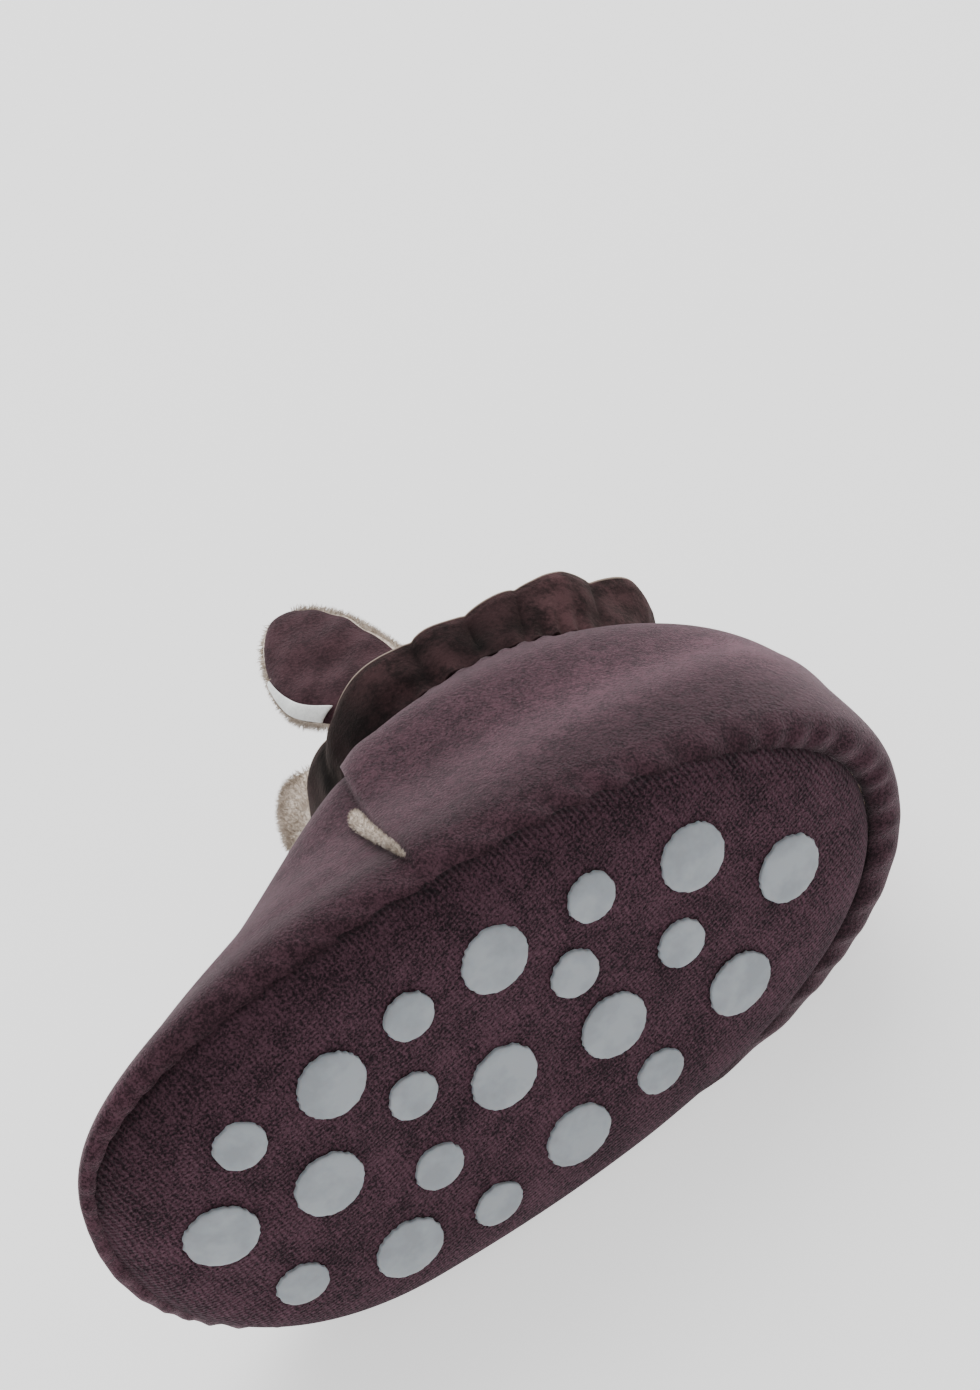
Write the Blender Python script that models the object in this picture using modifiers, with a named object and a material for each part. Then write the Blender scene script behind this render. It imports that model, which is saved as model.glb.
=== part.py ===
"""A baby's bootie slipper for the right foot, lying on its outer side.

Sizes are in millimetres in the shoe's own frame: x runs from the toe to the
heel, y from the inner side of the foot to the outer side, and z from the sole
to the collar. The last step turns the shoe onto the floor and into metres.
"""

import bmesh
import bpy
import numpy as np
from mathutils import Matrix

millimetre = 0.001

# Walls and gaps
upper_wall = 2.0
sole_thickness = 1.6
sole_edge_slant = 3.4
sole_edge_lift = 0.15
sole_under_insets = (50.0, 42.0, 34.0, 26.0, 19.0, 12.0, 6.0, 2.5, 0.0)
sole_over_insets = (sole_edge_slant, 6.0, 12.0, 20.0, 30.0, 50.0)
sole_bearings = 360
insole_thickness = 2.4
insole_inset = 3.4
insole_round = 0.75
insole_insets = (40.0, 22.0)
insole_corners = 44
rim_width = 8.0
middle_reach = 14.0
widest_reach = 50.0
collar_wall = 2.2
gap = 0.3
quarter_lap = 0.9
lap_width = 0.9
lap_full_level = 0.12

# Sole
sole_centre = (60.0, 2.0)
crown_power = 4.0
dot_height = 0.8
dot_radius = {"large": 5.0, "small": 3.65}
dot_corners = 18
dot_profile_columns = ("radius_share", "rise_share")
dot_profile = (
    (0.5, 0.0),
    (1.0, 0.0),
    (1.0, 0.6),
    (0.86, 1.0),
)

# The side seam, where the quarter laps over the vamp
seam_foot_x = 60.0
seam_top_x = 69.0

# The floor touches the outer side: through this point, square to this direction
floor_point = (65.0, 34.2, 4.0)
floor_normal = (0.13, 1.0, 0.05)

# The middle of the whole shoe's box, which goes to the world's origin
box_middle = (6.348, 40.125)

ring_columns = (
    "level", "toe_x", "heel_x", "inner_x", "inner_y", "outer_x", "outer_y",
    "toe_z", "inner_z", "outer_z", "heel_z", "fullness",
)
upper_rings = (
    (0.00, 4.2, 124.5, 66.0, -28.3, 46.0, 35.3, 9.0, 2.6, 4.2, 5.2, 2.17),
    (0.10, 2.9, 129.0, 59.0, -29.5, 53.0, 37.2, 11.0, 8.0, 10.0, 7.6, 2.24),
    (0.28, 8.1, 130.2, 73.0, -28.2, 56.0, 37.2, 15.9, 16.0, 18.0, 22.5, 2.22),
    (0.50, 23.0, 130.2, 76.0, -25.2, 66.0, 33.8, 20.4, 26.7, 28.0, 31.3, 2.11),
    (0.75, 44.0, 127.4, 79.0, -24.7, 77.0, 28.5, 30.4, 39.3, 38.5, 39.2, 2.02),
    (1.00, 62.0, 117.8, 90.0, -19.1, 88.0, 22.5, 46.0, 48.1, 48.0, 47.2, 2.00),
)
collar_top = (1.00, 68.0, 124.0, 92.0, -21.0, 91.0, 27.0, 60.5, 58.5, 60.0, 61.0, 2.05)
normal_step = 0.002
seam_samples = 241
upper_levels = (0.01, 0.05, 0.10, 0.16, 0.22, 0.28, 0.36, 0.43, 0.50, 0.58, 0.66, 0.75, 0.84, 0.92, 1.0)
vamp_columns = 8
quarter_columns = 14

# Creases of the gathered collar, in degrees round from the toe by the outer side
collar_creases = (8, 34, 79, 97, 112, 140, 180, 220, 248, 263, 281, 326)
columns_in_lobe = 8
lobe_bulge = 1.9
lobe_rise = 0.6
crease_depth = 1.0
lobe_fullness = 0.55
flare_power = 1.25
collar_middle = (90.0, 1.5, 0.0)
collar_shares = (0.0, 0.2, 0.45, 0.72, 1.0)

# Where curl is 1 an ear follows the collar's wall, and where it is 0 it is flat
ear_columns = ("height", "inner_x", "outer_x", "half_width", "half_thickness", "curl")
ear_sections = (
    (49.3, 82.0, 82.0, 5.0, 1.6, 1.0),
    (51.0, 82.0, 82.0, 5.6, 1.9, 1.0),
    (56.0, 81.8, 82.0, 6.2, 1.9, 1.0),
    (61.0, 81.3, 81.8, 6.5, 1.9, 0.95),
    (62.6, 81.0, 80.4, 6.8, 1.9, 0.7),
    (65.5, 79.6, 76.2, 8.8, 1.9, 0.3),
    (68.5, 79.4, 75.0, 9.1, 1.9, 0.0),
    (73.0, 79.5, 75.0, 8.4, 1.9, 0.0),
    (78.0, 79.8, 75.3, 7.2, 1.9, 0.0),
    (82.0, 79.9, 75.5, 5.4, 1.7, 0.0),
    (84.6, 80.0, 75.6, 3.6, 1.4, 0.0),
    (86.0, 80.0, 75.6, 1.8, 0.9, 0.0),
)
ear_fullness = 3.0
ear_half_thickness = 1.9
label_heights = (65.5, 68.5, 73.0, 75.0)
label_thickness = 0.5
label_angles = (160.0, 145.0, 130.0, 118.0)
ear_corners = 20

edge_columns = ("level", "width")
edge_sections = (
    (0.14, 0.5),
    (0.20, 0.8),
    (0.27, 1.2),
    (0.34, 1.6),
    (0.42, 2.0),
    (0.50, 2.3),
    (0.56, 2.2),
    (0.60, 1.6),
)
edge_height = 1.2
edge_shoulder = 0.7

dot_columns = ("x", "y", "size")
grip_dots = (
    (17.7, 6.6, "large"),
    (23.6, -6.7, "small"),
    (26.1, 20.6, "small"),
    (33.3, 5.7, "large"),
    (37.7, -9.3, "large"),
    (41.5, 23.5, "large"),
    (47.9, -1.0, "small"),
    (48.5, 12.4, "small"),
    (50.7, -13.3, "small"),
    (55.3, 24.5, "small"),
    (60.9, 4.2, "large"),
    (64.4, -14.5, "large"),
    (68.9, 20.7, "large"),
    (74.6, -5.5, "small"),
    (77.9, 6.1, "large"),
    (80.0, -15.4, "small"),
    (82.8, 18.2, "small"),
    (90.5, -0.5, "small"),
    (95.6, -12.2, "large"),
    (97.4, 11.9, "large"),
    (108.9, -1.1, "large"),
)


def ring(row, turns):
    """Points of one level round the foot: turn 0 is the toe, 0.25 the outer side."""
    size = dict(zip(ring_columns, row))
    angle = 2.0 * np.pi * np.asarray(turns, dtype=float)
    along = np.cos(angle)
    across = np.sin(angle)
    outer = across >= 0.0
    wide_x = np.where(outer, size["outer_x"], size["inner_x"])
    wide_y = np.where(outer, size["outer_y"], size["inner_y"])
    wide_z = np.where(outer, size["outer_z"], size["inner_z"])
    end_x = np.where(along > 0.0, size["toe_x"], size["heel_x"])
    end_z = np.where(along > 0.0, size["toe_z"], size["heel_z"])
    power = 2.0 / size["fullness"]
    x = wide_x + (end_x - wide_x) * np.abs(along) ** power
    y = wide_y * np.abs(across) ** power
    z = wide_z + (end_z - wide_z) * along ** 2
    return np.stack([x, y, z], axis=-1)


def ring_slope(levels, points, i):
    """How fast the surface moves at ring i as the level rises."""
    if i == 0 or i == len(levels) - 1:
        j = 1 if i == 0 else i
        return (points[j] - points[j - 1]) / (levels[j] - levels[j - 1])
    before = levels[i] - levels[i - 1]
    after = levels[i + 1] - levels[i]
    rise_before = (points[i] - points[i - 1]) / before
    rise_after = (points[i + 1] - points[i]) / after
    return (rise_before * after + rise_after * before) / (before + after)


def upper_surface(turns, level):
    """The upper's outside, by a smooth curve through the same turn of every ring."""
    levels = [row[0] for row in upper_rings]
    points = [ring(row, turns) for row in upper_rings]
    i = min(int(np.searchsorted(levels, level, side="right")) - 1, len(levels) - 2)
    span = levels[i + 1] - levels[i]
    t = (level - levels[i]) / span
    return (
        (2 * t ** 3 - 3 * t ** 2 + 1) * points[i]
        + (t ** 3 - 2 * t ** 2 + t) * span * ring_slope(levels, points, i)
        + (3 * t ** 2 - 2 * t ** 3) * points[i + 1]
        + (t ** 3 - t ** 2) * span * ring_slope(levels, points, i + 1)
    )


def outward(turns, level):
    """Unit normals of the upper's outside."""
    turns = np.asarray(turns, dtype=float)
    ahead = upper_surface(turns + normal_step, level)
    round_foot = ahead - upper_surface(turns - normal_step, level)
    low = max(level - normal_step, 0.0)
    high = min(level + normal_step, 1.0)
    rising = upper_surface(turns, high) - upper_surface(turns, low)
    normal = np.cross(rising, round_foot)
    return normal / np.linalg.norm(normal, axis=-1, keepdims=True)


def seam_x(level):
    return seam_foot_x + (seam_top_x - seam_foot_x) * level ** 2


def lap_height(level):
    """The quarter's step over the vamp, which dies out where both meet the sole."""
    return quarter_lap * min(level / lap_full_level, 1.0)


def turn_at(level, x, outer):
    """The turn at which a level passes over x, on one side of the foot."""
    turns = np.linspace(0.0 if outer else 1.0, 0.5, seam_samples)
    return float(np.interp(x, upper_surface(turns, level)[:, 0], turns))


def upper_columns(level):
    """Turns round one level, with the two side seams on columns, and which ones are quarter."""
    turns = []
    is_quarter = []
    for outer in (True, False):
        front, back = (0.0, 0.5) if outer else (1.0, 0.5)
        seam = turn_at(level, seam_x(level), outer)
        lap = turn_at(level, seam_x(level) + lap_width, outer)
        vamp = np.linspace(front, seam, vamp_columns + 1)
        quarter = np.linspace(lap, back, quarter_columns + 1)
        side = np.concatenate([vamp, quarter])
        marks = [False] * len(vamp) + [True] * len(quarter)
        if outer:
            turns.extend(side[:-1])
            is_quarter.extend(marks[:-1])
        else:
            turns.extend(side[:0:-1])
            is_quarter.extend(marks[:0:-1])
    return np.array(turns), np.array(is_quarter)


def on_floor(points):
    """Soft cloth lies flat where it would go through the floor."""
    normal = np.array(floor_normal) / np.linalg.norm(floor_normal)
    depth = (np.asarray(points) - floor_point) @ normal
    return points - np.maximum(depth, 0.0)[..., None] * normal


def sole_ring(turns, inset, lift):
    """Points on the sole's underside, inset from its edge and lifted towards the foot."""
    edge = ring(upper_rings[0], turns)
    centre = np.array(sole_centre)
    reach = np.linalg.norm(edge[:, :2] - centre, axis=1)
    share = np.clip(1.0 - np.asarray(inset) / reach, 0.0, 1.0)
    plan = centre + (edge[:, :2] - centre) * share[:, None]
    height = edge[:, 2] * share ** crown_power + lift
    return np.column_stack([plan, height])


def sole_height(x, y):
    """Height of the sole's underside over one place."""
    turns = np.arange(sole_bearings) / sole_bearings
    edge = ring(upper_rings[0], turns)
    offset = edge[:, :2] - sole_centre
    bearing = np.arctan2(offset[:, 1], offset[:, 0])
    order = np.argsort(bearing)
    here = np.array([x, y]) - sole_centre
    angle = np.arctan2(here[1], here[0])
    reach = np.interp(angle, bearing[order], np.linalg.norm(offset, axis=1)[order], period=2 * np.pi)
    height = np.interp(angle, bearing[order], edge[order, 2], period=2 * np.pi)
    return height * (np.linalg.norm(here) / reach) ** crown_power


def shoe_to_world():
    """The matrix that lays the shoe on its outer side, with the sole facing -Y."""
    down = np.array(floor_normal) / np.linalg.norm(floor_normal)
    up = -down
    toe_to_heel = np.array([1.0, 0.0, 0.0]) - up * up[0]
    toe_to_heel /= np.linalg.norm(toe_to_heel)
    side = np.cross(up, toe_to_heel)
    turn = np.array([toe_to_heel, side, up])
    shift = -turn @ np.array(floor_point)
    shift[0] -= box_middle[0]
    shift[1] -= box_middle[1]
    matrix = Matrix.Identity(4)
    for i in range(3):
        for j in range(3):
            matrix[i][j] = float(turn[i, j]) * millimetre
        matrix[i][3] = float(shift[i]) * millimetre
    return matrix


def loft(rows, caps=()):
    """A bmesh skin through closed rows of points, with flat caps on the named ends."""
    mesh = bmesh.new()
    rings = []
    for row in rows:
        rings.append([mesh.verts.new([float(v) for v in point]) for point in row])
    for low, high in zip(rings[:-1], rings[1:]):
        for i in range(len(low)):
            j = (i + 1) % len(low)
            mesh.faces.new((low[i], low[j], high[j], high[i]))
    if "first" in caps:
        mesh.faces.new(rings[0][::-1])
    if "last" in caps:
        mesh.faces.new(rings[-1])
    return mesh


def finish(mesh, name, material, collection, wall=0.0):
    """Turns the mesh into a world object, with a Solidify modifier where it is a shell."""
    mesh.transform(shoe_to_world())
    bmesh.ops.recalc_face_normals(mesh, faces=mesh.faces)
    data = bpy.data.meshes.new(name)
    mesh.to_mesh(data)
    mesh.free()
    data.materials.append(material)
    thing = bpy.data.objects.new(name, data)
    collection.objects.link(thing)
    if wall:
        shell = thing.modifiers.new("wall", "SOLIDIFY")
        shell.thickness = wall * millimetre
        shell.offset = -1.0
    return thing


def make_material(name, colour, roughness):
    material = bpy.data.materials.new(name)
    material.use_nodes = True
    surface = material.node_tree.nodes["Principled BSDF"]
    surface.inputs["Base Color"].default_value = (*colour, 1.0)
    surface.inputs["Roughness"].default_value = roughness
    surface.inputs["Metallic"].default_value = 0.0
    return material


def build_upper(material, collection):
    """The vamp and quarter: one shell, stepped outward where the quarter laps the vamp."""
    rows = []
    for level in upper_levels:
        turns, is_quarter = upper_columns(level)
        step = np.where(is_quarter, lap_height(level), 0.0)[:, None]
        rows.append(on_floor(upper_surface(turns, level) + outward(turns, level) * step))
    return finish(loft(rows), "upper", material, collection, upper_wall)


def build_sole(material, collection):
    """The knit sole panel, with a slanted edge that leaves room for the upper's wall."""
    turns, _ = upper_columns(0.0)
    rows = [sole_ring(turns, narrow(turns, inset), 0.0) for inset in sole_under_insets]
    rows.append(sole_ring(turns, 0.0, sole_edge_lift))
    rows += [sole_ring(turns, narrow(turns, inset), sole_thickness) for inset in sole_over_insets]
    mesh = loft([on_floor(row) for row in rows], ("first", "last"))
    return finish(mesh, "sole", material, collection)


def narrow(turns, inset):
    """An inset that stops short of the sole's middle, where the foot is narrow."""
    edge = ring(upper_rings[0], turns)
    reach = np.linalg.norm(edge[:, :2] - np.array(sole_centre), axis=1)
    inner = rim_width + (inset - rim_width) * (reach - middle_reach) / widest_reach
    return np.where(inset > rim_width, inner, inset)


def build_insole(material, collection):
    """The padded inner sock, just above the sole and clear of the upper's wall."""
    turns = np.arange(insole_corners) / insole_corners
    floor = sole_thickness + gap
    ceiling = floor + insole_thickness
    rows = [sole_ring(turns, narrow(turns, inset), floor) for inset in insole_insets]
    rows += [
        sole_ring(turns, insole_inset + insole_round, floor),
        sole_ring(turns, insole_inset, floor + insole_round),
        sole_ring(turns, insole_inset, ceiling - insole_round),
        sole_ring(turns, insole_inset + insole_round, ceiling),
    ]
    rows += [sole_ring(turns, narrow(turns, inset), ceiling) for inset in insole_insets[::-1]]
    return finish(loft(rows, ("first", "last")), "insole", material, collection)


def collar_rows(shares):
    """The frill: lobes between creases, growing from the gathered line to the top edge."""
    turns = []
    lobes = []
    creases = [angle / 360.0 for angle in collar_creases]
    for start, end in zip(creases, creases[1:] + [creases[0] + 1.0]):
        for k in range(columns_in_lobe):
            t = k / columns_in_lobe
            turns.append(start + (end - start) * t)
            lobes.append(np.sin(np.pi * t) ** lobe_fullness if k else 0.0)
    turns = np.array(turns)
    lobes = np.array(lobes)[:, None]
    base = upper_surface(turns, 1.0) + outward(turns, 1.0) * 0.5 * quarter_lap
    base[:, 2] += 2.0 * gap
    top = ring(collar_top, turns)
    away = base - np.array(collar_middle)
    away[:, 2] = 0.0
    away /= np.linalg.norm(away, axis=1, keepdims=True)
    rows = []
    for share in shares:
        flare = share ** flare_power
        bulge = (lobe_bulge * lobes - crease_depth) * np.sin(0.5 * np.pi * share)
        row = base * (1.0 - flare) + top * flare
        row[:, 2] = base[:, 2] * (1.0 - share) + top[:, 2] * share
        row = row + away * bulge
        row[:, 2] += (lobe_rise * lobes[:, 0]) * share ** 2
        rows.append(on_floor(row))
    return rows


def build_collar(material, collection):
    return finish(loft(collar_rows(collar_shares)), "collar", material, collection, collar_wall)


def ear_point(height, angle, outer, away=0.0):
    """A point on an ear's skin: its foot stands against the inside of the collar's wall."""
    side = "outer" if outer else "inner"
    names = dict(zip(ear_columns, zip(*ear_sections)))
    middle, half, thick, curl = (
        float(np.interp(height, names["height"], names[column]))
        for column in (side + "_x", "half_width", "half_thickness", "curl")
    )
    power = 2.0 / ear_fullness
    along = np.sign(np.cos(angle)) * abs(np.cos(angle)) ** power * (half + away)
    across = np.sign(np.sin(angle)) * abs(np.sin(angle)) ** power * (thick + away)
    size = dict(zip(ring_columns, upper_rings[-1]))
    share = (middle + along * curl - size[side + "_x"]) / (size["toe_x"] - size[side + "_x"])
    wall = abs(size[side + "_y"]) * np.sqrt(max(1.0 - share ** 2, 0.0))
    y = wall - collar_wall - crease_depth - gap - ear_half_thickness + across
    return (middle + along, y if outer else -y, height)


def build_ear(name, outer, material, collection):
    angles = np.arange(ear_corners) / ear_corners * 2.0 * np.pi
    rows = [[ear_point(row[0], angle, outer) for angle in angles] for row in ear_sections]
    return finish(loft(rows, ("first", "last")), name, material, collection)


def build_label(material, collection):
    """A blank satin tab on the inner ear's outside, along its front edge."""
    angles = np.radians(label_angles)
    rows = []
    for height in label_heights:
        front = [ear_point(height, angle, False, gap) for angle in angles]
        back = [ear_point(height, angle, False, gap + label_thickness) for angle in angles[::-1]]
        rows.append(front + back)
    return finish(loft(rows, ("first", "last")), "ear_label", material, collection)


def build_quarter_edge(material, collection):
    """The plush edge that stands out over the vamp at the inner side seam."""
    rows = []
    for row in edge_sections:
        size = dict(zip(edge_columns, row))
        level = size["level"]
        back = turn_at(level, seam_x(level) - gap, False)
        front = turn_at(level, seam_x(level) - gap - size["width"], False)
        corners = []
        for turn, lift in (
            (front, gap), (front, edge_height * edge_shoulder), (back, edge_height), (back, gap),
        ):
            corners.append((upper_surface([turn], level) + outward([turn], level) * lift)[0])
        rows.append(corners)
    return finish(loft(rows, ("first", "last")), "quarter_edge", material, collection)


def build_dot(number, row, material, collection):
    """A raised silicone dot that follows the sole's own curve."""
    spot = dict(zip(dot_columns, row))
    radius = dot_radius[spot["size"]]
    angles = np.arange(dot_corners) / dot_corners * 2.0 * np.pi
    rows = []
    for step in dot_profile:
        profile = dict(zip(dot_profile_columns, step))
        share = profile["radius_share"]
        drop = gap + dot_height * profile["rise_share"]
        points = []
        for angle in angles:
            x = spot["x"] + radius * share * np.cos(angle)
            y = spot["y"] + radius * share * np.sin(angle)
            points.append((x, y, sole_height(x, y) - drop))
        rows.append(points)
    return finish(loft(rows, ("first", "last")), f"grip_dot_{number:02d}", material, collection)


def main():
    for thing in list(bpy.data.objects):
        bpy.data.objects.remove(thing, do_unlink=True)
    collection = bpy.data.collections.new("bootie_slipper")
    bpy.context.scene.collection.children.link(collection)

    plum = make_material("plum_velour", (0.075, 0.050, 0.060), 0.9)
    knit = make_material("plum_knit_sole", (0.062, 0.040, 0.048), 0.95)
    plush = make_material("cream_plush", (0.55, 0.49, 0.42), 0.95)
    silicone = make_material("grey_silicone", (0.33, 0.35, 0.37), 0.5)
    satin = make_material("white_satin", (0.8, 0.8, 0.8), 0.4)

    build_sole(knit, collection)
    build_insole(plush, collection)
    build_upper(plum, collection)
    build_collar(plum, collection)
    build_ear("ear_inner", False, plum, collection)
    build_ear("ear_outer", True, plum, collection)
    build_quarter_edge(plush, collection)
    build_label(satin, collection)
    for number, row in enumerate(grip_dots, start=1):
        build_dot(number, row, silicone, collection)

    bpy.context.view_layer.update()
    graph = bpy.context.evaluated_depsgraph_get()
    corners = []
    triangles = 0
    for thing in collection.objects:
        data = thing.evaluated_get(graph).data
        corners += [thing.matrix_world @ v.co for v in data.vertices]
        triangles += sum(len(face.vertices) - 2 for face in data.polygons)
    low = [min(point[i] for point in corners) * 1000 for i in range(3)]
    high = [max(point[i] for point in corners) * 1000 for i in range(3)]
    print("box in mm", [round(v, 3) for v in low], [round(v, 3) for v in high], "triangles", triangles)


main()
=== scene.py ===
import bmesh
import bpy
import numpy as np
from mathutils import Matrix, Vector


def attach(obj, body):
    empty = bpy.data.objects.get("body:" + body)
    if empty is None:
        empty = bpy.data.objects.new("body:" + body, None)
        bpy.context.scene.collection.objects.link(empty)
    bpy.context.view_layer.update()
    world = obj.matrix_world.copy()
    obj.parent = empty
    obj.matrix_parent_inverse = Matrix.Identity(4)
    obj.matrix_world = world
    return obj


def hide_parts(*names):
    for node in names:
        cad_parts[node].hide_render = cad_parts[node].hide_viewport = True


# Shoe sizes are in millimetres in the shoe's own frame: x from toe to heel,
# y from the foot's inner side to its outer side, z from the sole to the collar.
mm = 0.001

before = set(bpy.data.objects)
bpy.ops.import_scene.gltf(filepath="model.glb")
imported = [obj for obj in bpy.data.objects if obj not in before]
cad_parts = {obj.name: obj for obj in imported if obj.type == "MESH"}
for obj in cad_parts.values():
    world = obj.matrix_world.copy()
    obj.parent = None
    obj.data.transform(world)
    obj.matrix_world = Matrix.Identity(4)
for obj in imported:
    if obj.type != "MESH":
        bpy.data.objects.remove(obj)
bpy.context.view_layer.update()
print("frame loaded")

shoe = {
    "floorPoint": (65.0, 34.2, 4.0),
    "floorNormal": (0.13, 1.0, 0.05),
    "boxMiddle": (6.348, 40.125),
    "soleCentre": (60.0, 2.0),
    "crownPower": 4.0,
    "seamFootX": 60.0,
    "seamTopX": 69.0,
    "gap": 0.3,
    "lapWidth": 0.5,
    "girth": 290.0,
    "height": 58.0,
}

ringColumns = (
    "level", "toeX", "heelX", "innerX", "innerY", "outerX", "outerY",
    "toeZ", "innerZ", "outerZ", "heelZ", "fullness",
)
upperRings = (
    (0.00, 4.2, 124.5, 66.0, -28.3, 46.0, 35.3, 9.0, 2.6, 4.2, 5.2, 2.17),
    (0.10, 2.9, 129.0, 59.0, -29.5, 53.0, 37.2, 11.0, 8.0, 10.0, 7.6, 2.24),
    (0.28, 8.1, 130.2, 73.0, -28.2, 56.0, 37.2, 15.9, 16.0, 18.0, 22.5, 2.22),
    (0.50, 23.0, 130.2, 76.0, -25.2, 66.0, 33.8, 20.4, 26.7, 28.0, 31.3, 2.11),
    (0.75, 44.0, 127.4, 79.0, -24.7, 77.0, 28.5, 30.4, 39.3, 38.5, 39.2, 2.02),
    (1.00, 62.0, 117.8, 90.0, -19.1, 88.0, 22.5, 46.0, 48.1, 48.0, 47.2, 2.00),
)
collarTop = (1.00, 68.0, 124.0, 92.0, -21.0, 91.0, 27.0, 60.5, 58.5, 60.0, 61.0, 2.05)


def ring(row, turns):
    # points of one level round the foot: turn 0 is the toe, 0.25 the outer side
    size = dict(zip(ringColumns, row))
    angle = 2.0 * np.pi * turns
    along, across = np.cos(angle), np.sin(angle)
    outer = across >= 0.0
    wideX = np.where(outer, size["outerX"], size["innerX"])
    wideY = np.where(outer, size["outerY"], size["innerY"])
    wideZ = np.where(outer, size["outerZ"], size["innerZ"])
    endX = np.where(along > 0.0, size["toeX"], size["heelX"])
    endZ = np.where(along > 0.0, size["toeZ"], size["heelZ"])
    power = 2.0 / size["fullness"]
    x = wideX + (endX - wideX) * np.abs(along) ** power
    y = wideY * np.abs(across) ** power
    z = wideZ + (endZ - wideZ) * along ** 2
    return np.stack([x, y, z], axis=-1)


def upperSurface(turns, levels):
    # a smooth curve through the same turn of every ring, read at each point's level
    knots = np.array([row[0] for row in upperRings])
    points = np.array([ring(row, turns) for row in upperRings])
    steps = np.diff(knots)[:, None, None]
    rises = np.diff(points, axis=0) / steps
    slopes = np.empty_like(points)
    slopes[0], slopes[-1] = rises[0], rises[-1]
    slopes[1:-1] = (rises[:-1] * steps[1:] + rises[1:] * steps[:-1]) / (steps[:-1] + steps[1:])
    i = np.clip(np.searchsorted(knots, levels, side="right") - 1, 0, len(knots) - 2)
    n = np.arange(len(turns))
    span = (knots[i + 1] - knots[i])[:, None]
    t = (levels - knots[i])[:, None] / span
    return (
        (2 * t ** 3 - 3 * t ** 2 + 1) * points[i, n]
        + (t ** 3 - 2 * t ** 2 + t) * span * slopes[i, n]
        + (3 * t ** 2 - 2 * t ** 3) * points[i + 1, n]
        + (t ** 3 - t ** 2) * span * slopes[i + 1, n]
    )


def outward(turns, levels, step=0.002):
    roundFoot = upperSurface(turns + step, levels) - upperSurface(turns - step, levels)
    higher = upperSurface(turns, np.minimum(levels + step, 1.0))
    rising = higher - upperSurface(turns, np.maximum(levels - step, 0.0))
    normal = np.cross(rising, roundFoot)
    return normal / np.maximum(np.linalg.norm(normal, axis=1, keepdims=True), 1e-9)


def seamX(level):
    return shoe["seamFootX"] + (shoe["seamTopX"] - shoe["seamFootX"]) * level ** 2


def turnAt(level, x, outer, samples=241):
    turns = np.linspace(0.0 if outer else 1.0, 0.5, samples)
    return float(np.interp(x, upperSurface(turns, np.full(samples, level))[:, 0], turns))


def smoothStep(value, low, high):
    t = np.clip((value - low) / (high - low), 0.0, 1.0)
    return t * t * (3.0 - 2.0 * t)


def bump(value, middle, width):
    return np.exp(-((value - middle) / width) ** 2)


def onFloor(points):
    # soft cloth lies flat where it would go through the floor
    normal = np.array(shoe["floorNormal"]) / np.linalg.norm(shoe["floorNormal"])
    depth = (points - np.array(shoe["floorPoint"])) @ normal
    return points - np.maximum(depth, 0.0)[:, None] * normal


def shoeAxes():
    up = -np.array(shoe["floorNormal"]) / np.linalg.norm(shoe["floorNormal"])
    toeToHeel = np.array([1.0, 0.0, 0.0]) - up * up[0]
    toeToHeel /= np.linalg.norm(toeToHeel)
    return np.array([toeToHeel, np.cross(up, toeToHeel), up])


def toWorld(points):
    turn = shoeAxes()
    moved = (np.asarray(points) - np.array(shoe["floorPoint"])) @ turn.T
    moved[:, 0] -= shoe["boxMiddle"][0]
    moved[:, 1] -= shoe["boxMiddle"][1]
    return moved * mm


def soft(points, size, seed):
    # a slow, smooth unevenness from a few waves, between about -1 and 1
    waves = np.random.default_rng(seed)
    total = np.zeros(len(points))
    for _ in range(7):
        direction = waves.normal(size=3)
        direction /= np.linalg.norm(direction)
        pitch = size * waves.uniform(0.6, 1.6)
        total += np.sin(points @ direction * 2.0 * np.pi / pitch + waves.uniform(0.0, 6.28))
    return total / 3.2


def roundWave(turns, count, wander, wanders):
    # unevenly spaced folds that close on themselves round the foot
    angle = 2.0 * np.pi * turns
    return np.sin(count * angle + wander * np.sin(wanders * angle))


# Making pieces

def makePiece(name, bm, materials, wall=0.0, smooth=1, lining=0):
    for face in bm.faces:
        face.smooth = True
    data = bpy.data.meshes.new(name)
    bm.to_mesh(data)
    bm.free()
    for material in materials:
        data.materials.append(material)
    piece = bpy.data.objects.new(name, data)
    bpy.context.scene.collection.objects.link(piece)
    if wall:
        shell = piece.modifiers.new("wall", "SOLIDIFY")
        shell.thickness = wall * mm
        shell.offset = -1.0
        shell.material_offset = lining
        shell.material_offset_rim = lining
    if smooth:
        finer = piece.modifiers.new("smooth", "SUBSURF")
        finer.levels = finer.render_levels = smooth
    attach(piece, "root")
    return piece


def gridMesh(across, up, place):
    # a grid whose two directions are wrapped onto a surface; place gives shoe points, a plan in mm
    # and, where wanted, attributes for the material: shade darkens or lightens with painted shade, painted
    # highlight and random tone, rim turns to the edge's colour
    bm = bmesh.new()
    bmesh.ops.create_grid(bm, x_segments=across, y_segments=up, size=1.0)
    flat = np.array([vert.co[:2] for vert in bm.verts])
    points, plan, *paintedShadeAndRim = place((flat[:, 0] + 1.0) / 2.0, (flat[:, 1] + 1.0) / 2.0)
    for vert, point in zip(bm.verts, toWorld(points)):
        vert.co = point
    for name, values in (paintedShadeAndRim[0] if paintedShadeAndRim else {}).items():
        mark = bm.verts.layers.float.new(name)
        for vert, value in zip(bm.verts, values):
            vert[mark] = value
    layer = bm.loops.layers.uv.new("plan")
    bm.verts.index_update()
    for face in bm.faces:
        for loop in face.loops:
            loop[layer].uv = plan[loop.vert.index] / 100.0
    bmesh.ops.remove_doubles(bm, verts=bm.verts, dist=0.000002)
    bmesh.ops.dissolve_degenerate(bm, dist=0.0000005, edges=bm.edges)
    bmesh.ops.recalc_face_normals(bm, faces=bm.faces)
    return bm


# Materials

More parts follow.
